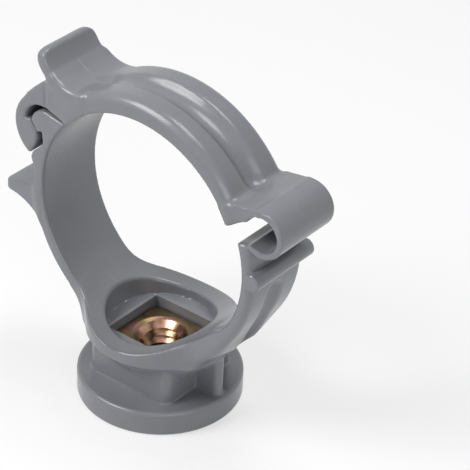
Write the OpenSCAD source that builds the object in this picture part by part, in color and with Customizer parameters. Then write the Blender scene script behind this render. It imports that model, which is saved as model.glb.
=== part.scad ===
// Hinged pipe clip, moulded in one piece, with a square nut in its foot.
// The ring closes round a pipe that runs along Y. The foot's underside lies at z = 0.

/* [Pipe] */
// Outside diameter of the pipe that the ring holds
pipe_d = 40; // [36:0.5:50]
// Height of the pipe's underside above the foot's underside
seat_h = 14.3; // [13.5:0.1:20]

/* [Strap] */
// Width of the ring, measured along the pipe
strap_w = 13.4; // [11:0.1:16]
// Thickness of the jaw and of the stiff arm on the hinge side
strap_t = 3.4; // [3:0.1:4.5]
// Thickness of the springy arm on the latch side
catch_arm_t = 2.2; // [1.8:0.1:2.6]
// Rounding of the outer edges of the jaw and of the stiff arm
strap_round = 1.1; // [0.5:0.1:1.4]
// Rounding of the outer edges of the springy arm
catch_arm_round = 0.6; // [0.3:0.1:1]
// Width of the groove that runs along the middle of the strap, at its mouth
groove_w = 4.2; // [3:0.1:5]
// Depth of that groove
groove_depth = 1.3; // [0.6:0.1:1.5]

/* [Foot] */
// Diameter of the round foot
foot_d = 28; // [26:0.5:36]
// Thickness of the foot
foot_t = 4.5; // [3.5:0.1:5]
// Rounding of the foot's two edges
foot_round = 0.6; // [0.3:0.1:1]
// Diameter of the hole in the foot that the stud passes
stud_hole_d = 7.6; // [7.2:0.1:9]

/* [Pedestal] */
// Side of the square pedestal
post_w = 17; // [16:0.1:18]
// Rounding of the pedestal's upright corners
post_corner_r = 2.8; // [1.5:0.1:3.2]
// Thickness of the web that props the two arms
web_t = 2; // [1.5:0.1:3]
// Distance from the stud's axis to the web's outer edge
web_reach = 13.2; // [11.5:0.1:13.5]

/* [Collar] */
// Diameter of the collar under the pipe seat
collar_d = 25; // [23:0.1:26]
// Height of the collar's lower edge above the foot's underside
collar_z = 8; // [7:0.1:9.6]
// Height of the slope under the collar
collar_slope_h = 4.4; // [3:0.1:5]
// Radius of the hollow between the collar and the sides of the arms
collar_fillet_r = 5; // [3:0.1:6]
// Slope of the flank under the stiff arm, measured from the level
flank_slope = 44.5; // [40:0.5:47]
// How far the flank's outer edge stays inside the strap's outer radius
flank_in = 2.1; // [1.5:0.1:4]
// Angle round the ring at which the flank leaves the springy arm
catch_flank_a = 230; // [225:0.5:234]
// Radius of the round recess over the nut, at its bottom
recess_r = 8.9; // [8.8:0.05:9.4]
// How much wider the recess is at its rim
recess_draft = 0.5; // [0.2:0.1:0.8]
// Height of the recess's bottom above the nut
recess_over_nut = 1.8; // [1:0.1:2.4]

/* [Nut] */
// Side of the square nut
nut_w = 12; // [11:0.1:12.4]
// Height of the nut
nut_h = 5.2; // [4.5:0.1:5.6]
// Outside diameter of the stud's thread
thread_d = 7; // [6:0.1:7]
// Pitch of the thread
thread_pitch = 1.5; // [1:0.05:1.5]
// Diameter of the countersink at both ends of the thread
countersink_d = 8.8; // [8:0.1:9.5]
// Width of the bevel that cuts the nut's four top corners
nut_corner_cut = 0.9; // [0.4:0.1:1.4]
// Thickness of plastic under the nut
nut_floor_t = 5.6; // [5:0.1:6]
// Clearance between each side of the nut and its pocket
nut_clearance = 0.15; // [0.05:0.05:0.25]

/* [Latch] */
// Angle round the ring, from the hinge side, at which the catch's head sits
head_a = 150; // [146:0.5:154]
// Distance from the pipe to the centre of the catch's head
head_out = 2.6; // [2.3:0.1:2.8]
// Radius of the catch's head
head_r = 3; // [2.6:0.1:3.3]
// Distance along the pipe seat from the head's centre line to the ring's seam
head_reach = 4.2; // [3.6:0.1:5]
// Lean of the catch face against the ring's radius
catch_lean = 27.5; // [15:0.5:32]
// Distance from the head's centre out to the catch face's edge
face_in = 0.7; // [0.4:0.1:1]
// Distance from the head's centre line down to that edge
face_down = 2.1; // [1.8:0.1:2.4]
// Height of the notch behind the edge of the catch face
notch_h = 0.8; // [0.4:0.1:1]
// Thickness of the neck under the head
neck_t = 1.5; // [1.3:0.1:1.8]
// Distance from the head's centre line to the end of the neck
neck_end = 3.7; // [3.4:0.1:4.2]
// Distance from the head's centre line to the shoulder under the neck
shoulder_down = 6.3; // [5.8:0.1:6.8]
// Height of the shoulder above the springy arm
shoulder_h = 0.95; // [0.6:0.05:1.1]
// Distance down the arm in which the shoulder falls away
shoulder_l = 2.6; // [2:0.1:4]
// Inside radius of the hook
hook_ir = 3.8; // [3.6:0.1:4]
// Outside radius of the hook
hook_or = 6.4; // [6.1:0.1:7]
// Distance from the head's centre line down to the centre of the hook's outside
hook_drop = 0.55; // [0.2:0.05:0.8]
// Clearance between the closed halves of the latch
latch_gap = 0.12; // [0.08:0.01:0.2]

/* [Finger tabs] */
// Radius of the hollow sweep on the jaw's tab
tab_sweep_r = 6.5; // [5.5:0.1:8]
// Thickness of the jaw's tab
tab_t = 2.1; // [1.6:0.1:2.5]
// Angle round the ring at which the sweep leaves the jaw
tab_root_a = 116.5; // [112:0.5:119]
// Angle that the sweep turns through, from the jaw to the tab's tip
tab_turn = 97; // [85:1:105]
// Width of the jaw's tab
tab_w = 12.8; // [10:0.1:13.4]
// Distance that the spur stands out from the springy arm
spur_l = 6.6; // [5:0.1:8]
// Height of the spur's top below the pipe's axis
spur_drop = 2.1; // [1:0.1:4]
// Thickness of the spur at its tip
spur_t = 1.1; // [0.8:0.1:1.6]
// Radius of the hollow under the spur
spur_hollow_r = 9.5; // [8:0.1:12]
// Corner radius of the tab and the spur
tab_corner_r = 2.4; // [1:0.1:3]

/* [Hinge] */
// Outside diameter of the spring loop
loop_d = 8.2; // [7.6:0.1:9]
// Thickness of the loop's wall
loop_t = 1.05; // [0.8:0.05:1.4]
// Distance from the strap's outer face to the loop's centre
loop_out = 3.2; // [3:0.1:4]
// Angle round the ring at which the loop's centre lies
loop_a = 21.3; // [19:0.5:24]
// Angle round the ring at which the jaw ends
jaw_end_a = 25.8; // [24:0.5:28]
// Angle round the ring at which the stiff arm ends
arm_end_a = 16.5; // [14:0.5:18]
// Diameter of the bar on the outside of the stiff arm
bar_d = 3; // [2.4:0.1:3.4]
// Distance from the strap's outer face to the bar's axis
bar_out = 0.3; // [0.1:0.1:1]
// Distance by which the stiff arm's end stands back from the pipe
arm_relief = 1.3; // [0.5:0.1:1.6]
// Angle round the ring at which the bar lies
bar_a = 1.6; // [-3:0.2:3]
// How far the bar stands out past each side of the strap
bar_proud = 0.5; // [0.1:0.1:0.8]

/* [Hidden] */
$fn = 96;
eps = 0.01;
plastic = "#80828a";
zinc = "#b08f45";

ring_r = pipe_d / 2;
ring_h = seat_h + ring_r;
ring_c = [0, ring_h];
strap_or = ring_r + strap_t;
catch_or = ring_r + catch_arm_t;
foot_r = foot_d / 2;
collar_r = collar_d / 2;
head_dist = ring_r + head_out;
lug_w = strap_w - 0.1;
loop_r = loop_d / 2;
loop_ir = loop_r - loop_t;
thread_minor_d = thread_d - 1.0825 * thread_pitch;
nut_top = nut_floor_t + nut_h;
recess_z = nut_top + recess_over_nut;
pocket_w = nut_w + 2 * nut_clearance;
far = 2 * foot_d;

// A point in the clip's side view, given by its radius and angle about the pipe's axis
function polar(r, a) = [r * cos(a), ring_h + r * sin(a)];
// A point at a distance and angle from another point
function from(p, r, a) = p + [r * cos(a), r * sin(a)];
// Angle of a length laid along an arc
function arc_deg(length, r) = length / r * 180 / PI;
// A point laid out from the catch's head: x outwards, y down the springy arm
function by_head(x, y) = from(from(head_c, x, head_a), y, head_a + 90);
// Direction from one point to another
function heading(a, b) = atan2(b[1] - a[1], b[0] - a[0]);
// Where a line from p touches a circle, seen from the circle's centre
function touch_a(p, c, r, side) = heading(c, p) + side * acos(r / norm(p - c));

head_c = polar(head_dist, head_a);
seam_a = head_a - arc_deg(head_reach, ring_r);
seam_p = polar(ring_r, seam_a);
head_touch_a = touch_a(seam_p, head_c, head_r, 1);
loop_c = polar(strap_or + loop_out, loop_a);
sweep_c = polar(strap_or + tab_sweep_r - 0.15, tab_root_a);
tab_tip_a = tab_root_a + 180 - tab_turn;
tab_tip = from(sweep_c, tab_sweep_r + tab_t / 2, tab_tip_a);
tab_foot_a = tab_tip_a + 30;
tab_foot = from(sweep_c, tab_sweep_r + tab_t + 0.3, tab_foot_a);
hook_root = from(head_c, hook_ir, head_touch_a + 7);
hook_c = by_head(-0.3, hook_drop);
hook_touch = from(hook_c, hook_or, touch_a(tab_foot, hook_c, hook_or, 1));
neck_x = neck_t - head_out;
shoulder_x = sqrt(pow(catch_or, 2) - pow(shoulder_down, 2)) - head_dist + shoulder_h;
jaw_lip = polar(strap_or, jaw_end_a + 8);
loop_top_a = touch_a(jaw_lip, loop_c, loop_r, -1);
loop_foot_a = 238;
spur_root = polar(catch_or, 180);

// Turns a side view into a solid of the given width, centred on the ring
module across(w) {
    rotate([90, 0, 0]) linear_extrude(height = w, center = true) children();
}

// Turns a section, drawn outwards from c, through an angle about c in the side view
module turned(c, a0, a1) {
    translate([c[0], 0, c[1]]) rotate([90, 0, 0]) rotate([0, 0, a0])
        rotate_extrude(angle = a1 - a0) children();
}

// Section of a strap between two radii: flat inside, with rounded outer edges
module strap_section(r0, r1, w, edge_r) {
    translate([r0, -w / 2]) square([r1 - r0 - edge_r, w]);
    translate([r0, edge_r - w / 2]) square([r1 - r0, w - 2 * edge_r]);
    for (side = [-1, 1]) translate([r1 - edge_r, side * (w / 2 - edge_r)]) circle(edge_r);
}

// An arm of the ring, of thickness t
module arm(a0, a1, t, edge_r) {
    turned(ring_c, a0, a1) strap_section(ring_r - 0.4, ring_r + t, strap_w, edge_r);
}

// The space that the pipe takes
module pipe_space() {
    translate([0, 0, ring_h]) rotate([90, 0, 0]) cylinder(h = far, r = ring_r, center = true);
}

// The groove along the middle of the strap, with sloping sides and round ends
module strap_groove(a0, a1) {
    mouth = groove_w / 2 + 0.4;
    floor_half = groove_w / 2 - 0.8;
    top = strap_or + 0.5;
    deep = strap_or - groove_depth;
    turned(ring_c, a0, a1)
        polygon([[deep, -floor_half], [top, -mouth], [top, mouth], [deep, floor_half]]);
    for (a = [a0, a1]) translate([0, 0, ring_h]) rotate([0, 90 - a, 0]) translate([0, 0, deep - eps])
        cylinder(h = top - deep + eps, r1 = floor_half - 2 * eps, r2 = mouth - 2 * eps);
}

// A rounded square, drawn from its centre
module rounded_square(w, corner_r) {
    square([w, w - 2 * corner_r], center = true);
    square([w - 2 * corner_r, w], center = true);
    for (x = [-1, 1], y = [-1, 1]) translate([x, y] * (w / 2 - corner_r)) circle(corner_r);
}

// A tongue's outline: it points along +X, with rounded corners
module tongue(length, w) {
    translate([0, -w / 2]) square([length - tab_corner_r, w]);
    translate([0, tab_corner_r - w / 2]) square([length, w - 2 * tab_corner_r]);
    for (side = [-1, 1]) translate([length - tab_corner_r, side * (w / 2 - tab_corner_r)])
        circle(tab_corner_r);
}

module foot() {
    rotate_extrude() {
        square([foot_r - foot_round, foot_t]);
        translate([0, foot_round]) square([foot_r, foot_t - 2 * foot_round]);
        for (z = [foot_round, foot_t - foot_round]) translate([foot_r - foot_round, z])
            circle(foot_round);
    }
}

// Block that stands on the foot and holds the nut, with the web that props the arms
module pedestal() {
    top = seat_h + 2;
    translate([0, 0, foot_t - eps]) linear_extrude(top - foot_t) rounded_square(post_w, post_corner_r);
    translate([-web_reach, -web_t / 2, foot_t - eps]) cube([2 * web_reach, web_t, top + 0.4 - foot_t]);
}

// Round collar that carries the pipe over the pedestal
module collar() {
    top = ring_h - sqrt(ring_r * ring_r - collar_r * collar_r) + 1;
    rotate_extrude() polygon([
        [0, collar_z - 0.4], [post_w / 2 - 0.4, collar_z - 0.4],
        [collar_r, collar_z + collar_slope_h], [collar_r, top], [0, top]
    ]);
}

// Hollow corners that lead the collar's round side into the sides of the arms
module collar_fillets() {
    half = strap_w / 2 - 0.05;
    cx = sqrt(pow(collar_r + collar_fillet_r, 2) - pow(half + collar_fillet_r, 2));
    cy = half + collar_fillet_r;
    on_collar = [cx, cy] * collar_r / (collar_r + collar_fillet_r);
    intersection() {
        translate([0, 0, collar_z]) linear_extrude(seat_h) for (x = [0, 1], y = [0, 1])
            mirror([x, 0]) mirror([0, y]) difference() {
                polygon([
                    [on_collar[0] - 1, half - 1], [cx, half - 1], [cx, half], on_collar,
                    on_collar - [1, 1]
                ]);
                translate([cx, cy]) circle(collar_fillet_r);
            }
        translate([0, 0, ring_h]) rotate([90, 0, 0]) cylinder(h = far, r = catch_or, center = true);
    }
}

// Flank that leads the stiff arm down to the pedestal, part of a cone about the stud
module flank() {
    inner = post_w / 2 - 1;
    reach = strap_or - flank_in;
    top = ring_h - sqrt(pow(strap_or - 0.15, 2) - reach * reach);
    intersection() {
        rotate_extrude() polygon([
            [inner, collar_z - 1.1 * tan(flank_slope)],
            [reach, collar_z - 0.1 + (reach - post_w / 2) * tan(flank_slope)],
            [reach, top], [inner, seat_h]
        ]);
        translate([0, -lug_w / 2, 0]) cube([far, lug_w, far]);
    }
}

// Side view of the hollow flank that leads the springy arm down to the pedestal
module catch_flank_profile() {
    post_x = -post_w / 2;
    polygon([
        [post_x + 1, collar_z], [post_x + 0.3, collar_z], [post_x - 1.6, collar_z + 2.3],
        [post_x - 2.2, collar_z + 4], [post_x - 3.5, collar_z + 6.5],
        polar(catch_or - 0.1, catch_flank_a), polar(ring_r + 1, catch_flank_a), [post_x + 1, seat_h]
    ]);
}

// Recess for the nut, with the stud's hole below it
module nut_seat() {
    translate([0, 0, recess_z]) cylinder(h = 6, r1 = recess_r, r2 = recess_r + recess_draft);
    translate([-pocket_w / 2, -pocket_w / 2, nut_floor_t])
        cube([pocket_w, pocket_w, recess_over_nut + nut_h + eps]);
    translate([0, 0, -eps]) cylinder(h = nut_floor_t + 2 * eps, d = stud_hole_d);
}

// Side view of the catch's head, from the seam to the springy arm
module head_profile() {
    translate(head_c) circle(head_r);
    polygon([
        seam_p, from(head_c, head_r, head_touch_a), head_c, polar(ring_r - 1, head_a),
        polar(ring_r - 1, seam_a + 3)
    ]);
}

// Side view of the shoulder that the hook's tip comes to lie on
module shoulder_profile() {
    end = shoulder_down + shoulder_l;
    polygon([
        by_head(neck_x - 0.5, neck_end), by_head(neck_x + 0.6, neck_end),
        by_head(shoulder_x + 0.5, shoulder_down - 2), by_head(shoulder_x - 0.25, shoulder_down + 1),
        by_head(sqrt(pow(catch_or, 2) - end * end) - head_dist - 0.2, end),
        by_head(neck_x - 2.5, end)
    ]);
}

// Side view of the undercut that the barb grips
module undercut_profile() {
    outer_down = face_down - (head_r + 1 - face_in) * tan(catch_lean);
    polygon([
        by_head(head_r + 1, outer_down),
        by_head(face_in, face_down),
        by_head(face_in - 0.75, face_down - notch_h),
        by_head(neck_x, face_down + 0.7),
        by_head(neck_x - 0.1, neck_end),
        by_head(shoulder_x, shoulder_down),
        by_head(head_r + 3, shoulder_down),
        by_head(head_r + 3, outer_down)
    ]);
}

// Side view of the spur that a finger presses, level on top and hollow below
module spur_profile() {
    top = ring_h - spur_drop;
    x1 = spur_root[0] - spur_l;
    difference() {
        polygon([
            [-ring_r - 1, top + 0.4], [spur_root[0], top + 0.4], [x1, top - 0.5],
            [x1, top - 0.5 - spur_t], [-ring_r, top - 9], [-ring_r - 1, top - 9]
        ]);
        translate([x1 + 1, top - 0.5 - spur_t - spur_hollow_r]) circle(spur_hollow_r);
    }
}

module spur() {
    intersection() {
        across(lug_w) spur_profile();
        mirror([1, 0, 0]) translate([0, 0, ring_h - 20]) linear_extrude(30)
            tongue(catch_or + spur_l, lug_w);
    }
}

// Side view of the arm's end under the spring loop
module arm_nose_profile() {
    difference() {
        polygon([
            polar(ring_r - 1, arm_end_a - 6), polar(strap_or, arm_end_a - 6),
            from(loop_c, loop_r, loop_foot_a), from(loop_c, loop_ir, loop_foot_a),
            polar(ring_r - 1, arm_end_a + 1.5)
        ]);
        translate(loop_c) circle(loop_ir);
    }
}

module bar() {
    p = polar(strap_or + bar_out, bar_a);
    translate([p[0], 0, p[1]]) rotate([90, 0, 0])
        cylinder(h = strap_w + 2 * bar_proud, d = bar_d, center = true);
}

module base() {
    color(plastic) difference() {
        union() {
            foot();
            pedestal();
            collar();
            collar_fillets();
            arm(-72, arm_end_a, strap_t, strap_round);
            arm(head_a, 252, catch_arm_t, catch_arm_round);
            flank();
            across(lug_w) catch_flank_profile();
            across(lug_w) head_profile();
            across(lug_w) shoulder_profile();
            across(lug_w) arm_nose_profile();
            spur();
            bar();
        }
        pipe_space();
        translate([arm_relief, 0, 0]) pipe_space();
        nut_seat();
        across(far) undercut_profile();
        strap_groove(-48, -12);
    }
}

module nut() {
    cone_h = (countersink_d - thread_minor_d) / 2 * tan(30);
    bore_h = nut_h + 2 * eps;
    color(zinc) translate([0, 0, nut_floor_t]) difference() {
        intersection() {
            translate([-nut_w / 2, -nut_w / 2, 0]) cube([nut_w, nut_w, nut_h]);
            cylinder(h = nut_h, r1 = nut_w, r2 = nut_w / sqrt(2) - nut_corner_cut);
        }
        translate([0, 0, -eps]) cylinder(h = bore_h, d = thread_minor_d);
        translate([0, 0, -eps]) cylinder(h = cone_h + eps, d1 = countersink_d, d2 = thread_minor_d);
        translate([0, 0, nut_h - cone_h])
            cylinder(h = cone_h + eps, d1 = thread_minor_d, d2 = countersink_d);
    }
}

// Thin spring loop that joins the stiff arm to the jaw
module hinge_loop() {
    color(plastic) turned(loop_c, loop_foot_a, loop_top_a + 360)
        translate([loop_ir, -lug_w / 2]) square([loop_t, lug_w]);
}

// Side view of the bridge from the jaw to the top of the loop
module loop_bridge_profile() {
    difference() {
        polygon([
            polar(ring_r + 0.5, jaw_end_a + 1), polar(strap_or - 0.5, jaw_end_a + 1),
            from(loop_c, loop_ir - 0.3, 152), from(loop_c, loop_ir - 0.3, loop_top_a),
            from(loop_c, loop_r, loop_top_a), jaw_lip, polar(ring_r + 0.5, jaw_end_a + 8)
        ]);
        translate(loop_c) circle(loop_ir);
    }
}

// Side view of the jaw's end over the catch, up to the root of the hook
module jaw_root_profile() {
    lift = [latch_gap * cos(head_touch_a), latch_gap * sin(head_touch_a)];
    difference() {
        polygon([
            seam_p + lift, hook_root, tab_foot, from(sweep_c, tab_sweep_r + 0.5, tab_foot_a),
            from(sweep_c, tab_sweep_r + 0.5, tab_root_a + 180 - 8), polar(ring_r - 1, tab_root_a + 8),
            polar(ring_r - 1, seam_a)
        ]);
        translate(sweep_c) circle(tab_sweep_r + 0.05);
    }
}

// The jaw's tab, swept up in a hollow curve to a rounded tip
module tab() {
    intersection() {
        union() {
            turned(sweep_c, tab_tip_a, tab_root_a + 180 - 8)
                translate([tab_sweep_r, -tab_w / 2]) square([tab_t, tab_w]);
            across(tab_w) translate(tab_tip) circle(tab_t / 2);
        }
        translate([tab_tip[0], 0, tab_tip[1]]) rotate([0, 90 - tab_tip_a, 0])
            translate([-20, 0, -10]) linear_extrude(30) tongue(20 + tab_t / 2, tab_w);
    }
}

module jaw() {
    color(plastic) difference() {
        union() {
            arm(jaw_end_a, seam_a, strap_t, strap_round);
            across(lug_w) loop_bridge_profile();
            across(lug_w) jaw_root_profile();
            tab();
        }
        pipe_space();
        strap_groove(38, 112);
    }
}

// Side view of the hook, clear of the catch's face by the latch gap
module hook_profile() {
    edge_down = face_down + latch_gap / cos(catch_lean);
    face_w = head_r - 0.1 - face_in;
    barb = [
        by_head(hook_ir + 0.1, edge_down - 0.35),
        by_head(face_in + face_w, edge_down - face_w * tan(catch_lean)),
        by_head(face_in, edge_down),
        by_head(0, neck_end - 0.6),
        by_head(-0.2, neck_end + 0.8),
        by_head(-0.05, hook_or + 2)
    ];
    difference() {
        union() {
            polygon([hook_root, tab_foot, hook_touch, by_head(hook_or - 1.2, 0), head_c]);
            intersection() {
                translate(hook_c) circle(hook_or);
                polygon(concat([by_head(far, hook_or + 2), by_head(far, -2), by_head(2, -2)], barb));
            }
        }
        difference() {
            translate(by_head(0.3, 0.3)) circle(hook_ir);
            polygon(concat(barb, [by_head(far, hook_or + 2), by_head(far, face_in)]));
        }
    }
}

// Springy hook that snaps over the catch's head
module snap_hook() {
    color(plastic) across(lug_w) hook_profile();
}

base();
nut();
hinge_loop();
jaw();
snap_hook();
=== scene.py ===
import math
import bpy
import numpy as np
from mathutils import Matrix, Vector


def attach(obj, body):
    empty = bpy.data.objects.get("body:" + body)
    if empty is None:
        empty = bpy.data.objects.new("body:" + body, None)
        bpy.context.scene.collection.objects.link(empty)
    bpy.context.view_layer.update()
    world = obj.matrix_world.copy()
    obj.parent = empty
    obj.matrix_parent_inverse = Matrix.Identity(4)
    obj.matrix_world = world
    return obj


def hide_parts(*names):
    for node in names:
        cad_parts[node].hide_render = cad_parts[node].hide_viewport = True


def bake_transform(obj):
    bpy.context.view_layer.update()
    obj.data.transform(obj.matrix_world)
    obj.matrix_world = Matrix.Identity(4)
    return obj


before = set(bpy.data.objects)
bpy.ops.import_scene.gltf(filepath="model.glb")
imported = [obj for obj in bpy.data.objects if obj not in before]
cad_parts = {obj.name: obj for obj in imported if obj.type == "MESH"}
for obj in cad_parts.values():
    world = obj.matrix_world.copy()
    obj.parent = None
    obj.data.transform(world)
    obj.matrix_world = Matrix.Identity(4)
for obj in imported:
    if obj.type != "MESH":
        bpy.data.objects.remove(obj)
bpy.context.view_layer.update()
scene = bpy.context.scene
print("frame loaded:", sorted(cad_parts))

cameraSettings = {
    "azimuth": 39.78,        # degrees round the clip, 0 looks along +Y
    "elevation": 33.92,
    "roll": 0.79,
    "distance": 0.3749,
    "target": (0.0, 0.0, 0.02457),
    "lens": 176.2,
    "sensor": 36,
    "shift": (0.156, 0.062),
    "clipStart": 0.01,
}


def makeCamera(s):
    a, e, r = (math.radians(s[k]) for k in ("azimuth", "elevation", "roll"))
    back = Vector((math.sin(a) * math.cos(e), -math.cos(a) * math.cos(e), math.sin(e)))
    right = Vector((math.cos(a), math.sin(a), 0))
    up = back.cross(right)
    right, up = right * math.cos(r) + up * math.sin(r), up * math.cos(r) - right * math.sin(r)
    data = bpy.data.cameras.new("camera")
    data.sensor_width = s["sensor"]
    data.lens = s["lens"]
    data.shift_x, data.shift_y = s["shift"]
    data.clip_start = s["clipStart"]
    cam = bpy.data.objects.new("camera", data)
    scene.collection.objects.link(cam)
    place = Matrix((right, up, back)).transposed().to_4x4()
    place.translation = Vector(s["target"]) + back * s["distance"]
    cam.matrix_world = place
    scene.camera = cam


makeCamera(cameraSettings)
print("camera placed")

# The clip and the nut are modelled as distance fields, in millimetres: below 0 is inside.

perMetre = 1000
ring = {"radius": 20.0, "centre": (0, 34.3)}


def around(c, r, degrees):
    turn = math.radians(degrees)
    return (c[0] + r * math.cos(turn), c[1] + r * math.sin(turn))


def polar(r, degrees):
    return around(ring["centre"], r, degrees)


def angleFrom(x, z, c, start):
    return (np.degrees(np.arctan2(z - c[1], x - c[0])) - start + 180) % 360 - 180


def smoothMin(a, b, k):
    h = np.clip(0.5 + 0.5 * (b - a) / k, 0, 1)
    return b + (a - b) * h - k * h * (1 - h)


def smoothMax(a, b, k):
    return -smoothMin(-a, -b, k)


def ramp(v, low, high):
    t = np.clip((v - low) / (high - low), 0, 1)
    return t * t * (3 - 2 * t)


def disc(x, z, c, r):
    return np.hypot(x - c[0], z - c[1]) - r


def band(x, z, c, inner, outer, a0, a1):
    rho = np.hypot(x - c[0], z - c[1])
    off = np.abs(angleFrom(x, z, c, (a0 + a1) / 2)) - (a1 - a0) / 2
    end = rho * np.sin(np.radians(np.clip(off, -90, 90)))
    return np.maximum(np.abs(rho - (inner + outer) / 2) - (outer - inner) / 2, end)


def polygon(x, z, points):
    best, inside = 1e9, False
    for (ax, az), (bx, bz) in zip(points, points[1:] + points[:1]):
        ex, ez = bx - ax, bz - az
        px, pz = x - ax, z - az
        t = np.clip((px * ex + pz * ez) / (ex * ex + ez * ez), 0, 1)
        best = np.minimum(best, (px - ex * t) ** 2 + (pz - ez * t) ** 2)
        if bz != az:
            inside = inside ^ (((az > z) != (bz > z)) & (x < ax + (z - az) * ex / (bz - az)))
    return np.where(inside, -1, 1) * np.sqrt(best)


def rounded(a, b, edge):
    return np.minimum(np.maximum(a, b), 0) + np.hypot(np.maximum(a, 0), np.maximum(b, 0)) - edge


def across(flat, y, half, edge):
    return rounded(flat + edge, np.abs(y) - half + edge, edge)


def plate(x, y, halfX, halfY, corner):
    return rounded(np.abs(x) - halfX + corner, np.abs(y) - halfY + corner, corner)


def between(flat, z, low, high):
    return np.maximum(flat, np.maximum(low - z, z - high))


def edgeAt(bore, least, more, start, end):
    return least + more * ramp(bore, start, end)


def grooveField(x, y, z, s):
    rho = np.hypot(x, z - ring["centre"][1])
    middle, half = (s["from"] + s["to"]) / 2, (s["to"] - s["from"]) / 2
    turn = angleFrom(x, z, ring["centre"], middle)
    beyond = rho * np.radians(np.clip(np.abs(turn) - half, 0, 90))
    rise = s["fade"] * ramp(turn, half - s["fadeTurn"], half)       # the groove runs out at its far end
    return np.hypot(np.hypot(rho - s["pathRadius"] - rise, y), beyond) - s["toolRadius"]


# A field becomes a mesh with one point in each cell that its surface passes through.

meshing = {
    "margin": (1.5, 2.5),       # cells before and after the box
    "rounds": 2,                # in which each point is drawn onto the true surface
    "probe": 0.02,              # step that measures the field's slope
    "leastSlope": 0.2,
    "longestMove": 0.6,         # of a cell, in one round
}


def cellPoints(values, cells):
    total, hits = np.zeros((len(cells), 3)), np.zeros(len(cells))
    for axis in range(3):
        u, v = (axis + 1) % 3, (axis + 2) % 3
        for p, q in ((0, 0), (0, 1), (1, 0), (1, 1)):
            a = cells.copy()
            a[:, u] += p
            a[:, v] += q
            b = a.copy()
            b[:, axis] += 1
            va, vb = values[tuple(a.T)], values[tuple(b.T)]
            cut = (va < 0) != (vb < 0)
            point = a[cut].astype(float)
            point[:, axis] += va[cut] / (va[cut] - vb[cut])
            total[cut] += point
            hits[cut] += 1
    return total / hits[:, None]


def cellFaces(inside, number):
    faces = []
    for axis in range(3):
        u, v = (axis + 1) % 3, (axis + 2) % 3
        first = np.take(inside, np.arange(inside.shape[axis] - 1), axis)
        second = np.take(inside, np.arange(1, inside.shape[axis]), axis)
        edges = np.argwhere(first != second)
        quad = []
        for du, dv in ((0, 0), (-1, 0), (-1, -1), (0, -1)):
            c = edges.copy()
            c[:, u] += du
            c[:, v] += dv
            quad.append(number[tuple(c.T)])
        quad = np.stack(quad, 1)
        outwards = inside[tuple(edges.T)]
        quad[~outwards] = quad[~outwards][:, ::-1]
        faces.append(quad)
    return np.concatenate(faces)


def drawOn(points, field, step):
    h = meshing["probe"]
    for _ in range(meshing["rounds"]):
        px, py, pz = points.T
        d = field(px, py, pz)
        ahead = (field(px + h, py, pz), field(px, py + h, pz), field(px, py, pz + h))
        slope = np.stack([value - d for value in ahead], 1) / h
        move = -(d / np.maximum((slope ** 2).sum(1), meshing["leastSlope"]))[:, None] * slope
        length = np.maximum(np.linalg.norm(move, axis=1, keepdims=True), 1e-9)
        points = points + move * np.minimum(1, meshing["longestMove"] * step / length)
    return points


def fieldMesh(name, field, low, high, step):
    before, after = meshing["margin"]
    axes = [np.arange(a - before * step, b + after * step, step) for a, b in zip(low, high)]
    x, y, z = axes[0][:, None, None], axes[1][None, :, None], axes[2][None, None, :]
    values = np.array(np.broadcast_to(field(x, y, z), [len(a) for a in axes]))
    inside = values < 0
    corners = [(i, j, k) for i in (0, 1) for j in (0, 1) for k in (0, 1)]
    cx, cy, cz = (n - 1 for n in inside.shape)
    count = sum(inside[i:cx + i, j:cy + j, k:cz + k].astype(np.int8) for i, j, k in corners)
    mixed = (count > 0) & (count < len(corners))
    cells = np.argwhere(mixed)
    number = np.full(mixed.shape, -1, np.int64)
    number[mixed] = np.arange(len(cells))
    points = cellPoints(values, cells) * step + np.array([a[0] for a in axes])
    points = drawOn(points, field, step)
    faces = cellFaces(inside, number)
    mesh = bpy.data.meshes.new(name)
    mesh.vertices.add(len(points))
    mesh.vertices.foreach_set("co", (points / perMetre).astype(np.float32).ravel())
    mesh.loops.add(len(faces) * 4)
    mesh.loops.foreach_set("vertex_index", faces.astype(np.int32).ravel())
    mesh.polygons.add(len(faces))
    mesh.polygons.foreach_set("loop_start", np.arange(0, len(faces) * 4, 4, dtype=np.int32))
    mesh.update(calc_edges=True)
    mesh.validate()
    mesh.shade_smooth()
    piece = bpy.data.objects.new(name, mesh)
    scene.collection.objects.link(piece)
    print(name, len(faces) * 2, "triangles")
    return piece


def newMaterial(name):
    mat = bpy.data.materials.new(name)
    mat.use_nodes = True
    return mat, mat.node_tree.nodes, mat.node_tree.links, mat.node_tree.nodes["Principled BSDF"]


def makeNoise(nodes, links, coords, scale, detail):
    noise = nodes.new("ShaderNodeTexNoise")
    noise.inputs["Scale"].default_value = scale
    noise.inputs["Detail"].default_value = detail
    links.new(coords.outputs["Object"], noise.inputs["Vector"])
    return noise


def makeBump(nodes, links, height, strength, distance):
    bump = nodes.new("ShaderNodeBump")
    bump.inputs["Strength"].default_value = strength
    bump.inputs["Distance"].default_value = distance
    links.new(height, bump.inputs["Height"])
    return bump


def makeRange(nodes, links, value, low, high):
    spread = nodes.new("ShaderNodeMapRange")
    spread.inputs["To Min"].default_value = low
    spread.inputs["To Max"].default_value = high
    links.new(value, spread.inputs["Value"])
    return spread


plasticLook = {
    "dark": (0.175, 0.182, 0.2, 1),
    "light": (0.2, 0.208, 0.226, 1),
    "roughness": (0.2, 0.28),
    "ior": 1.49,
    "mottle": (240, 4),                 # scale and detail of a noise
    "flow": (190, 2),
    "grain": (5200, 2),
    "flowBump": (0.5, 0.0002),          # strength and distance of a bump
    "grainBump": (0.12, 0.00002),
    "partingBump": (0.5, 0.00004),
    "partingWidth": 0.00016,            # half of it, in metres
}


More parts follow.
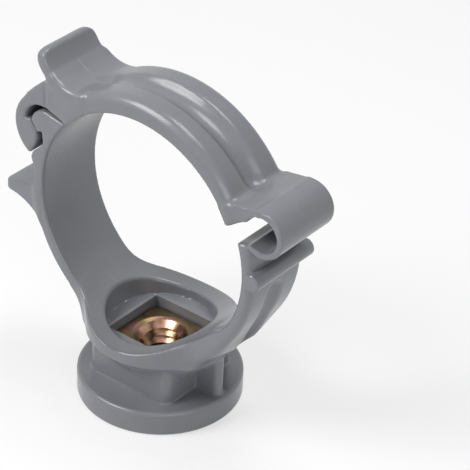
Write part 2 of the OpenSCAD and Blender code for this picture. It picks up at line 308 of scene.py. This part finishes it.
def makePlastic(s):
    mat, nodes, links, bsdf = newMaterial("mouldedGreyPlastic")
    coords = nodes.new("ShaderNodeTexCoord")
    mottle, flow, grain = (makeNoise(nodes, links, coords, *s[k]) for k in ("mottle", "flow", "grain"))
    colour = nodes.new("ShaderNodeMix")
    colour.data_type = "RGBA"
    colour.inputs["A"].default_value = s["dark"]
    colour.inputs["B"].default_value = s["light"]
    links.new(mottle.outputs["Fac"], colour.inputs["Factor"])
    links.new(colour.outputs["Result"], bsdf.inputs["Base Color"])
    gloss = makeRange(nodes, links, mottle.outputs["Fac"], *s["roughness"])
    links.new(gloss.outputs["Result"], bsdf.inputs["Roughness"])
    middle = nodes.new("ShaderNodeSeparateXYZ")         # the mould's parting line runs round the middle
    links.new(coords.outputs["Object"], middle.inputs["Vector"])
    off = nodes.new("ShaderNodeMath")
    off.operation = "ABSOLUTE"
    links.new(middle.outputs["Y"], off.inputs[0])
    seam = makeRange(nodes, links, off.outputs[0], 1, 0)
    seam.inputs["From Max"].default_value = s["partingWidth"]
    parting = makeBump(nodes, links, seam.outputs["Result"], *s["partingBump"])
    broad = makeBump(nodes, links, flow.outputs["Fac"], *s["flowBump"])
    fine = makeBump(nodes, links, grain.outputs["Fac"], *s["grainBump"])
    links.new(parting.outputs["Normal"], broad.inputs["Normal"])
    links.new(broad.outputs["Normal"], fine.inputs["Normal"])
    links.new(fine.outputs["Normal"], bsdf.inputs["Normal"])
    bsdf.inputs["IOR"].default_value = s["ior"]
    return mat


plating = {
    "cloud": (320, 5),
    "stops": (0.34, 0.5, 0.68),
    "marks": (1500, 2),
    "marksBump": (0.2, 0.00005),
}

zincLook = {
    "olive": (0.085, 0.068, 0.038, 1),
    "gold": (0.165, 0.12, 0.06, 1),
    "rose": (0.23, 0.12, 0.1, 1),
    "roughness": (0.28, 0.42),
}

# The thread keeps the nut's yellow zinc tint, but about twice as light: the extra lightness is a painted
# highlight for the glints on its turns.
threadPaintedGlintLook = {
    "olive": (0.09, 0.055, 0.03, 1),
    "gold": (0.3, 0.18, 0.1, 1),
    "rose": (0.55, 0.31, 0.26, 1),
    "roughness": (0.2, 0.32),
}


def makeZinc(name, s):
    mat, nodes, links, bsdf = newMaterial(name)
    coords = nodes.new("ShaderNodeTexCoord")
    cloud, marks = (makeNoise(nodes, links, coords, *plating[k]) for k in ("cloud", "marks"))
    low, middle, high = plating["stops"]
    tint = nodes.new("ShaderNodeValToRGB")
    stops = tint.color_ramp.elements
    stops[0].position, stops[0].color = low, s["olive"]
    stops[1].position, stops[1].color = high, s["rose"]
    stops.new(middle).color = s["gold"]
    links.new(cloud.outputs["Fac"], tint.inputs["Fac"])
    links.new(tint.outputs["Color"], bsdf.inputs["Base Color"])
    gloss = makeRange(nodes, links, cloud.outputs["Fac"], *s["roughness"])
    links.new(gloss.outputs["Result"], bsdf.inputs["Roughness"])
    bump = makeBump(nodes, links, marks.outputs["Fac"], *plating["marksBump"])
    links.new(bump.outputs["Normal"], bsdf.inputs["Normal"])
    bsdf.inputs["Metallic"].default_value = 1.0
    return mat


plastic = makePlastic(plasticLook)
zinc = makeZinc("yellowZincPlate", zincLook)
# The thread's lighter zinc copy carries the painted highlight on its turns.
threadPaintedGlintZinc = makeZinc("yellowZincThreadPaintedGlint", threadPaintedGlintLook)
print("materials made")

loop = {
    "centre": polar(26.6, 21.3),
    "inner": 3.05,
    "outer": 4.1,
    "halfWidth": 6.65,
    "edge": 0.25,
    "foot": 238,                # degrees at which it leaves the stiff arm
    "top": 98.4,                # degrees at which it meets the jaw
    "short": (3, 1),            # degrees by which its ends stop short, inside the stubs
    "bend": (3.6, -96, 84),     # radius and angles of the points between which it bends
    "low": (20, -6.6, 39.5),
    "high": (29.2, 6.6, 48.5),
    "step": 0.22,
}


def loopField(x, y, z):
    first = loop["foot"] - 360 + loop["short"][0]
    last = loop["top"] - loop["short"][1]
    flat = band(x, z, loop["centre"], loop["inner"], loop["outer"], first, last)
    return across(flat, y, loop["halfWidth"], loop["edge"])


# A stub starts a little proud of the loop and runs out under its skin.

stub = {
    "proud": 0.02,
    "sink": 0.06,
    "sinkFrom": 3,
    "tail": 4,
    "perDegree": 0.06,
}


def loopStub(x, y, z, start, turn):
    along = angleFrom(x, z, loop["centre"], start) * np.sign(turn)
    sink = stub["sink"] * ramp(along, stub["sinkFrom"], abs(turn)) - stub["proud"]
    middle, half = (loop["inner"] + loop["outer"]) / 2, (loop["outer"] - loop["inner"]) / 2
    wall = np.abs(disc(x, z, loop["centre"], middle)) - half + sink
    reach = abs(turn) / 2
    ends = (np.abs(along - reach + stub["tail"]) - reach - stub["tail"]) * stub["perDegree"]
    return across(np.maximum(wall, ends), y, loop["halfWidth"] - sink, loop["edge"])


# The latch is drawn in its side view. byHead places points from the centre of the catch's round head:
# first away from the ring's centre, then along the ring towards the springy arm.

latch = {
    "head": polar(22.6, 150),
    "headAngle": 150,
    "headRadius": 2.92,
    "seam": polar(20, 137.97),
    "touchAngle": 78.4,
    "lipFoot": [polar(19, 150), polar(19, 141)],
    "lipBlend": 0.2,
    "gap": 0.2,
    "undercut": [
        (4, 0.38), (0.7, 2.1), (-0.05, 1.3), (-1.1, 2.8),
        (-1.2, 3.7), (-0.36, 6.3), (6, 6.3), (6, 0.38),
    ],
    "shoulder": [(-1.6, 3.7), (-0.5, 3.7), (0.14, 4.3), (-0.61, 7.3), (-2.46, 8.9), (-3.6, 8.9)],
}

hook = {
    "outerCentre": (-0.3, 0.55),
    "outerRadius": 6.4,
    "hollowCentre": (0.3, 0.3),
    "hollowRadius": 3.8,
    "rootTurn": 7,
    "barb": [(3.9, 1.88), (2.9, 1.1), (0.7, 2.24), (0, 3.1), (-0.2, 4.5), (-0.05, 8.4)],
    "back": [(4.45, -6.9), (5.2, -4.7), (5.8, -2.5), (5.4, 0)],
    "curlSide": [(60, 8.4), (60, -2), (2, -2)],
    "hollowSide": [(60, 8.4), (60, 0.7)],
    "curlBlend": 0.35,
    "rootBlend": 0.6,
    "hollowBlend": 0.2,
}

# The finger tab is a strip that sweeps round its own centre, from its tip to the strap.

tab = {
    "centre": polar(29.75, 116.5),
    "inner": 6.7,
    "outer": 8.6,
    "tipAngle": 199.5,
    "endAngle": 288,
    "tipPath": 7.65,
    "tipRadius": 0.95,
    "halfWidth": 6.5,
    "aside": 0.2,               # it lies a little towards the camera
    "edge": 0.8,
    "outlinePath": 7.55,
    "outlineStart": 1.05,
    "length": 30,
    "corner": 2.9,
    "cornerBlend": 0.6,
    "foot": (8.9, 229.5),
    "root": [(7, 229.5), (7, 288.5)],
}

hookRoot = around(latch["head"], hook["hollowRadius"], latch["touchAngle"] + hook["rootTurn"])
tabFoot = around(tab["centre"], *tab["foot"])


def byHead(pairs):
    angle = latch["headAngle"]
    return [around(around(latch["head"], u, angle), v, angle + 90) for u, v in pairs]


def headFlat(x, z):
    touch = around(latch["head"], latch["headRadius"], latch["touchAngle"])
    lip = polygon(x, z, [latch["seam"], touch, latch["head"]] + latch["lipFoot"])
    return smoothMin(disc(x, z, latch["head"], latch["headRadius"]), lip, latch["lipBlend"])


def hookFlat(x, z):
    barb = byHead(hook["barb"])
    outer, inner = byHead([hook["outerCentre"], hook["hollowCentre"]])
    root = polygon(x, z, [hookRoot, tabFoot] + byHead(hook["back"]) + [latch["head"]])
    curlSide = polygon(x, z, byHead(hook["curlSide"]) + barb)
    curl = smoothMax(disc(x, z, outer, hook["outerRadius"]), curlSide, hook["curlBlend"])
    hollowSide = polygon(x, z, barb + byHead(hook["hollowSide"]))
    hollow = np.maximum(disc(x, z, inner, hook["hollowRadius"]), -hollowSide)
    return smoothMax(smoothMin(root, curl, hook["rootBlend"]), -hollow, hook["hollowBlend"])


def tabField(x, y, z):
    strip = band(x, z, tab["centre"], tab["inner"], tab["outer"], tab["tipAngle"], tab["endAngle"])
    tip = disc(x, z, around(tab["centre"], tab["tipPath"], tab["tipAngle"]), tab["tipRadius"])
    solid = across(np.minimum(strip, tip), y + tab["aside"], tab["halfWidth"], tab["edge"])
    turn = np.radians(angleFrom(x, z, tab["centre"], tab["tipAngle"]))
    along = turn * tab["outlinePath"] + tab["outlineStart"]
    outline = plate(tab["length"] - along, y + tab["aside"], tab["length"], tab["halfWidth"], tab["corner"])
    return smoothMax(solid, outline, tab["cornerBlend"])


base = {
    "half": 6.65,
    "stiff": (19.5, 23.4, -76, 16.5),           # radii and angles of an arm
    "stiffHalf": 6.7,
    "outerEdge": (0.35, 0.8, 0.6, 2.8),
    "nose": [
        polar(19, 10.5), polar(23.4, 10.5), around(loop["centre"], loop["outer"], loop["foot"]),
        around(loop["centre"], loop["inner"], loop["foot"]), polar(19, 18),
    ],
    "relief": (1.3, 34.3),
    "flank": [
        (7.5, 6.9), (16.9, 16.3), (17.8, 17.3), (18.6, 18.6), (19.3, 20.1),
        (20, 22.3), (20, 24), (17, 22), (7.5, 14.3),
    ],
    "flankEdge": 1.1,
    "groove": {"from": -48, "to": -12, "pathRadius": 24.2, "toolRadius": 2.1, "fade": 0.0, "fadeTurn": 30},
    "stubTurn": 20,
    "bar": polar(23.7, 1.6),
    "barRadius": 1.5,
    "barHalf": 7.2,
    "barEdge": 0.25,
    "springy": (19.5, 22.2, 150, 256),
    "catchFlank": [
        (-7.5, 8), (-8.2, 8), (-10.1, 10.3), (-10.7, 12), (-12, 14.5),
        polar(22.1, 230), polar(21, 230), (-7.5, 14.3),
    ],
    "catchEdge": 0.5,
    "spur": [(-21, 33.5), (-22.6, 33.4), (-29.2, 32.2), (-29.2, 30.9), (-20, 23.2), (-21, 23.2)],
    "spurHollow": ((-28.2, 21.1), 9.5),
    "spurReach": 28.8,
    "spurHalf": 6.55,
    "spurCorner": 1.4,
    "spurSink": 0.5,
    "collar": [(0, 7.6), (8.1, 7.6), (12.5, 12.4), (12.5, 20), (0, 20)],
    "postHalf": 8.5,
    "postCorner": 1.5,
    "postSpan": (3, 16),
    "webReach": 13.2,
    "webHalf": 1.0,
    "webCorner": 0.99,
    "webSpan": (3, 16.6),
    "footRadius": 14.0,
    "footHeight": 4.5,
    "footEdge": 0.6,
    "recess": (8.9, 12.6, 0.09),                # radius, floor and draft
    "pocketHalf": 6.15,
    "pocketFloor": 5.6,
    "holeRadius": 3.8,
    "low": (-29.3, -14.1, 0),
    "high": (26.5, 14.1, 49),
    "step": 0.29,
    "blend": {
        "nose": 0.3, "relief": 0.3, "flank": 0.8, "groove": 0.5, "stub": 0.3, "bar": 0.25,
        "shoulder": 0.3, "catchFlank": 0.8, "undercut": 0.2, "catchBore": 0.2, "catch": 0.2,
        "spurHollow": 0.3, "spurSide": 0.4, "spurBore": 0.2, "spur": 0.8,
        "collar": 2.6, "post": 0.3, "web": 0.4, "foot": 0.4, "bore": 0.5, "sockets": 0.45,
    },
}


def stiffArm(x, y, z, bore, s, blend):
    nose = np.maximum(polygon(x, z, s["nose"]), -disc(x, z, loop["centre"], loop["inner"]))
    flat = smoothMin(band(x, z, ring["centre"], *s["stiff"]), nose, blend["nose"])
    flat = smoothMax(flat, -disc(x, z, s["relief"], ring["radius"]), blend["relief"])
    flank = np.maximum(polygon(np.hypot(x, y), z, s["flank"]), -x)
    flank = across(flank, y, s["half"], s["flankEdge"])
    arm = smoothMin(across(flat, y, s["stiffHalf"], edgeAt(bore, *s["outerEdge"])), flank, blend["flank"])
    arm = smoothMax(arm, -grooveField(x, y, z, s["groove"]), blend["groove"])
    arm = smoothMin(arm, loopStub(x, y, z, loop["foot"], s["stubTurn"]), blend["stub"])
    bar = across(disc(x, z, s["bar"], s["barRadius"]), y, s["barHalf"], s["barEdge"])
    return smoothMin(arm, bar, blend["bar"])


def springyArm(x, y, z, bore, s, blend):
    flat = np.minimum(band(x, z, ring["centre"], *s["springy"]), headFlat(x, z))
    flat = smoothMin(flat, polygon(x, z, byHead(latch["shoulder"])), blend["shoulder"])
    flat = smoothMin(flat, polygon(x, z, s["catchFlank"]), blend["catchFlank"])
    flat = smoothMax(flat, -polygon(x, z, byHead(latch["undercut"])), blend["undercut"])
    flat = smoothMax(flat, -bore, blend["catchBore"])
    return across(flat, y, s["half"], s["catchEdge"])


def spurField(x, y, z, bore, s, blend):
    spur = smoothMax(polygon(x, z, s["spur"]), -disc(x, z, *s["spurHollow"]), blend["spurHollow"])
    spur = smoothMax(spur, plate(x, y, s["spurReach"], s["spurHalf"], s["spurCorner"]), blend["spurSide"])
    return smoothMax(spur, -bore - s["spurSink"], blend["spurBore"])


def socketField(x, y, z, s):
    rho = np.hypot(x, y)
    r, floor, draft = s["recess"]
    recess = np.maximum(rho - r - draft * (z - floor), floor - z)
    pocket = np.maximum(np.maximum(np.abs(x), np.abs(y)) - s["pocketHalf"], s["pocketFloor"] - z)
    return np.minimum(np.minimum(recess, pocket), rho - s["holeRadius"])


def baseField(x, y, z):
    s, blend = base, base["blend"]
    rho = np.hypot(x, y)
    bore = disc(x, z, ring["centre"], ring["radius"])
    body = stiffArm(x, y, z, bore, s, blend)
    body = smoothMin(body, springyArm(x, y, z, bore, s, blend), blend["catch"])
    body = smoothMin(body, spurField(x, y, z, bore, s, blend), blend["spur"])
    body = smoothMin(body, polygon(rho, z, s["collar"]), blend["collar"])
    post = plate(x, y, s["postHalf"], s["postHalf"], s["postCorner"])
    body = smoothMin(body, between(post, z, *s["postSpan"]), blend["post"])
    web = plate(x, y, s["webReach"], s["webHalf"], s["webCorner"])
    body = smoothMin(body, between(web, z, *s["webSpan"]), blend["web"])
    footHalf = s["footHeight"] / 2
    foot = across(rho - s["footRadius"], z - footHalf, footHalf, s["footEdge"])
    body = smoothMin(body, foot, blend["foot"])
    body = smoothMax(body, -bore, blend["bore"])
    return smoothMax(body, -socketField(x, y, z, s), blend["sockets"])


clipBase = fieldMesh("clipBase", baseField, base["low"], base["high"], base["step"])

jaw = {
    "half": 6.65,
    "strap": (20, 23.4, 25.8, 137.97),          # radii and angles
    "outerCentre": (-0.27, 35.01),
    "outerRadius": 22.64,
    "outerEdge": (0.35, 1.4, 0.5, 2.6),
    "bridge": [
        polar(20.5, 26.8), polar(22.9, 26.8), around(loop["centre"], 2.75, 152),
        around(loop["centre"], 2.75, loop["top"]), around(loop["centre"], loop["outer"], loop["top"]),
        polar(23.4, 33.8), polar(20.5, 33.8),
    ],
    "bridgeEdge": 0.3,
    "stubTurn": -26,
    "root": [
        around(latch["seam"], latch["gap"], latch["touchAngle"]), hookRoot, tabFoot,
        *(around(tab["centre"], *spot) for spot in tab["root"]), polar(19, 124.5), polar(19, 137.97),
    ],
    "rootClear": 0.05,
    "rootEdge": 0.5,
    "groove": {"from": 39, "to": 118, "pathRadius": 24.28, "toolRadius": 2.53, "fade": 0.95, "fadeTurn": 30},
    "low": (-26.4, -7.5, 39),
    "high": (26.5, 7.5, 60.2),
    "step": 0.3,
    "blend": {
        "loopHollow": 0.2, "bridge": 1.2, "stub": 0.3, "tabHollow": 0.2, "hook": 0.4, "root": 0.4,
        "tab": 0.9, "groove": 0.5, "bore": 0.25,
    },
}


def jawField(x, y, z):
    s, blend = jaw, jaw["blend"]
    bore = disc(x, z, ring["centre"], ring["radius"])
    strap = band(x, z, ring["centre"], *s["strap"])
    strap = np.maximum(strap, disc(x, z, s["outerCentre"], s["outerRadius"]))
    strap = across(strap, y, s["half"], edgeAt(bore, *s["outerEdge"]))
    loopHollow = disc(x, z, loop["centre"], loop["inner"])
    bridge = smoothMax(polygon(x, z, s["bridge"]), -loopHollow, blend["loopHollow"])
    solid = smoothMin(strap, across(bridge, y, s["half"], s["bridgeEdge"]), blend["bridge"])
    solid = smoothMin(solid, loopStub(x, y, z, loop["top"], s["stubTurn"]), blend["stub"])
    tabHollow = disc(x, z, tab["centre"], tab["inner"] + s["rootClear"])
    root = smoothMax(polygon(x, z, s["root"]), -tabHollow, blend["tabHollow"])
    root = smoothMin(root, hookFlat(x, z), blend["hook"])
    solid = smoothMin(solid, across(root, y, s["half"], s["rootEdge"]), blend["root"])
    solid = smoothMin(solid, tabField(x, y, z), blend["tab"])
    solid = smoothMax(solid, -grooveField(x, y, z, s["groove"]), blend["groove"])
    return smoothMax(solid, -bore, blend["bore"])


clipJaw = fieldMesh("clipJaw", jawField, jaw["low"], jaw["high"], jaw["step"])
hingeLoop = fieldMesh("hingeLoop", loopField, loop["low"], loop["high"], loop["step"])

nut = {
    "half": 6.0,
    "low": 5.6,
    "high": 10.8,
    "corner": 0.3,
    "edge": 0.25,
    "chamferRadius": 8.0,
    "chamferDrop": 0.6,
    "chamferSlope": 0.9,
    "chamferBlend": 0.2,
    "majorRadius": 3.9,
    "countersink": 4.7,
    "countersinkSlope": 1.7,
    "boreBlend": 0.12,
    "step": 0.16,
    "pitch": 1.5,
    "ridge": 1.0,
    "turns": 3.1,
    "threadLift": 0.2,
    "threadSteps": 96,
    "ridgeSides": 4,
}


def nutField(x, y, z):
    rho = np.hypot(x, y)
    middle = (nut["low"] + nut["high"]) / 2
    half = (nut["high"] - nut["low"]) / 2
    block = across(plate(x, y, nut["half"], nut["half"], nut["corner"]), z - middle, half, nut["edge"])
    chamfer = rho - nut["chamferRadius"] + nut["chamferSlope"] * (z - nut["high"] + nut["chamferDrop"])
    depth = half - np.abs(z - middle)
    bore = np.minimum(rho - nut["majorRadius"], rho - nut["countersink"] + depth * nut["countersinkSlope"])
    return smoothMax(smoothMax(block, chamfer, nut["chamferBlend"]), -bore, nut["boreBlend"])


nutLow = (-nut["half"], -nut["half"], nut["low"])
nutHigh = (nut["half"], nut["half"], nut["high"])
squareNut = fieldMesh("squareNut", nutField, nutLow, nutHigh, nut["step"])


def makeThread(s):
    tree = bpy.data.node_groups.new("threadSweep", "GeometryNodeTree")
    values = {
        "Pitch": s["pitch"] / perMetre,
        "Turns": s["turns"],
        "Radius": s["majorRadius"] / perMetre,
        "Ridge": s["ridge"] / perMetre,
        "Bottom": (s["low"] + s["threadLift"]) / perMetre,
    }
    for name in values:
        tree.interface.new_socket(name, in_out="INPUT", socket_type="NodeSocketFloat")
    values["Material"] = threadPaintedGlintZinc
    tree.interface.new_socket("Material", in_out="INPUT", socket_type="NodeSocketMaterial")
    tree.interface.new_socket("Geometry", in_out="OUTPUT", socket_type="NodeSocketGeometry")
    nodes = tree.nodes
    given = nodes.new("NodeGroupInput")
    rise = nodes.new("ShaderNodeMath")
    rise.operation = "MULTIPLY"
    spiral = nodes.new("GeometryNodeCurveSpiral")
    spiral.inputs["Resolution"].default_value = s["threadSteps"]
    upright = nodes.new("GeometryNodeSetCurveNormal")
    upright.mode = "Z_UP"
    profile = nodes.new("GeometryNodeCurvePrimitiveCircle")
    profile.mode = "RADIUS"
    profile.inputs["Resolution"].default_value = s["ridgeSides"]
    ridge = nodes.new("GeometryNodeCurveToMesh")
    ridge.inputs["Fill Caps"].default_value = True
    spot = nodes.new("ShaderNodeCombineXYZ")
    lift = nodes.new("GeometryNodeTransform")
    realize = nodes.new("GeometryNodeRealizeInstances")
    paint = nodes.new("GeometryNodeSetMaterial")
    result = nodes.new("NodeGroupOutput")
    for source, target in (
        (given.outputs["Pitch"], rise.inputs[0]),
        (given.outputs["Turns"], rise.inputs[1]),
        (rise.outputs[0], spiral.inputs["Height"]),
        (given.outputs["Turns"], spiral.inputs["Rotations"]),
        (given.outputs["Radius"], spiral.inputs["Start Radius"]),
        (given.outputs["Radius"], spiral.inputs["End Radius"]),
        (spiral.outputs["Curve"], upright.inputs["Curve"]),
        (given.outputs["Ridge"], profile.inputs["Radius"]),
        (upright.outputs["Curve"], ridge.inputs["Curve"]),
        (profile.outputs["Curve"], ridge.inputs["Profile Curve"]),
        (given.outputs["Bottom"], spot.inputs["Z"]),
        (spot.outputs["Vector"], lift.inputs["Translation"]),
        (ridge.outputs["Mesh"], lift.inputs["Geometry"]),
        (lift.outputs["Geometry"], realize.inputs["Geometry"]),
        (realize.outputs["Geometry"], paint.inputs["Geometry"]),
        (given.outputs["Material"], paint.inputs["Material"]),
        (paint.outputs["Geometry"], result.inputs["Geometry"]),
    ):
        tree.links.new(source, target)
    carrier = bpy.data.objects.new("nutThread", bpy.data.meshes.new("threadSeed"))
    scene.collection.objects.link(carrier)
    modifier = carrier.modifiers.new("sweep", "NODES")
    modifier.node_group = tree
    for item in tree.interface.items_tree:
        if item.item_type == "SOCKET" and item.in_out == "INPUT":
            modifier[item.identifier] = values[item.name]
    depsgraph = bpy.context.evaluated_depsgraph_get()
    mesh = bpy.data.meshes.new_from_object(carrier.evaluated_get(depsgraph))
    carrier.modifiers.clear()
    carrier.data = mesh
    mesh.name = "nutThread"
    return carrier


nutThread = makeThread(nut)
print("nut and thread made")

creaseAngle = 38

for piece, material, slotName in (
    (clipBase, plastic, "plastic"),
    (clipJaw, plastic, "plastic"),
    (hingeLoop, plastic, "plastic"),
    (squareNut, zinc, "zinc"),
    (nutThread, threadPaintedGlintZinc, "zinc"),
):
    piece.data.materials.clear()
    piece.data.materials.append(material)
    piece.data.set_sharp_from_angle(angle=math.radians(creaseAngle))

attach(clipBase, "clip")
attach(clipJaw, "jaw")
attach(squareNut, "clip")
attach(nutThread, "clip")
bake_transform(hingeLoop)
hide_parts("base")
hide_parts("jaw", "snap_hook")
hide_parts("hinge_loop")
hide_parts("nut")
print("pieces ride on their bodies")

studio = {
    "floor": {"half": 1.2, "colour": (0.92, 0.92, 0.92, 1), "roughness": 0.9, "specular": 0.1, "glow": 0.6},
    "key": {"size": 0.26, "power": 2.15, "place": (-0.22, -0.3, 0.42)},
    "fill": {"size": 0.3, "power": 0.75, "place": (0.42, -0.26, 0.2)},
    "top": {"size": 0.22, "power": 1.0, "place": (0.05, 0.12, 0.5)},
    "aim": (0, 0, 0.03),
    "world": 0.17,
}


def shownRays(nodes, links):
    seen = nodes.new("ShaderNodeLightPath")
    first, both = nodes.new("ShaderNodeMath"), nodes.new("ShaderNodeMath")
    for node in (first, both):
        node.operation = "ADD"
        node.use_clamp = True
    links.new(seen.outputs["Is Camera Ray"], first.inputs[0])
    links.new(seen.outputs["Is Glossy Ray"], first.inputs[1])
    links.new(first.outputs[0], both.inputs[0])
    links.new(seen.outputs["Is Transmission Ray"], both.inputs[1])
    return both.outputs[0]


def makeFloor(s):
    mesh = bpy.data.meshes.new("floor")
    h = s["half"]
    mesh.from_pydata([(-h, -h, 0), (h, -h, 0), (h, h, 0), (-h, h, 0)], [], [(0, 1, 2, 3)])
    floor = bpy.data.objects.new("floor", mesh)
    scene.collection.objects.link(floor)
    mat, nodes, links, bsdf = newMaterial("whiteFloor")
    bsdf.inputs["Base Color"].default_value = s["colour"]
    bsdf.inputs["Roughness"].default_value = s["roughness"]
    bsdf.inputs["Specular IOR Level"].default_value = s["specular"]
    glow = nodes.new("ShaderNodeEmission")
    glow.inputs["Strength"].default_value = 1.0
    mix = nodes.new("ShaderNodeMixShader")
    share = nodes.new("ShaderNodeMath")
    share.operation = "MULTIPLY"
    share.inputs[1].default_value = s["glow"]
    links.new(shownRays(nodes, links), share.inputs[0])
    links.new(share.outputs[0], mix.inputs["Fac"])
    links.new(bsdf.outputs[0], mix.inputs[1])
    links.new(glow.outputs[0], mix.inputs[2])
    links.new(mix.outputs[0], nodes["Material Output"].inputs["Surface"])
    mesh.materials.append(mat)


def makeLamp(name, s):
    data = bpy.data.lights.new(name, "AREA")
    data.size = s["size"]
    data.energy = s["power"]
    lamp = bpy.data.objects.new(name, data)
    scene.collection.objects.link(lamp)
    place = Vector(s["place"])
    turn = (place - Vector(studio["aim"])).to_track_quat("Z", "Y")
    lamp.matrix_world = Matrix.Translation(place) @ turn.to_matrix().to_4x4()


def makeWorld(strength):
    world = bpy.data.worlds.new("studio")
    world.use_nodes = True
    scene.world = world
    nodes, links = world.node_tree.nodes, world.node_tree.links
    sky = nodes["Background"]
    sky.inputs["Color"].default_value = (1, 1, 1, 1)
    shown = makeRange(nodes, links, shownRays(nodes, links), strength, 1)
    links.new(shown.outputs["Result"], sky.inputs["Strength"])


makeFloor(studio["floor"])
for lampName in ("key", "fill", "top"):
    makeLamp(lampName, studio[lampName])
makeWorld(studio["world"])

scene.view_settings.view_transform = "Standard"
print("studio lit")
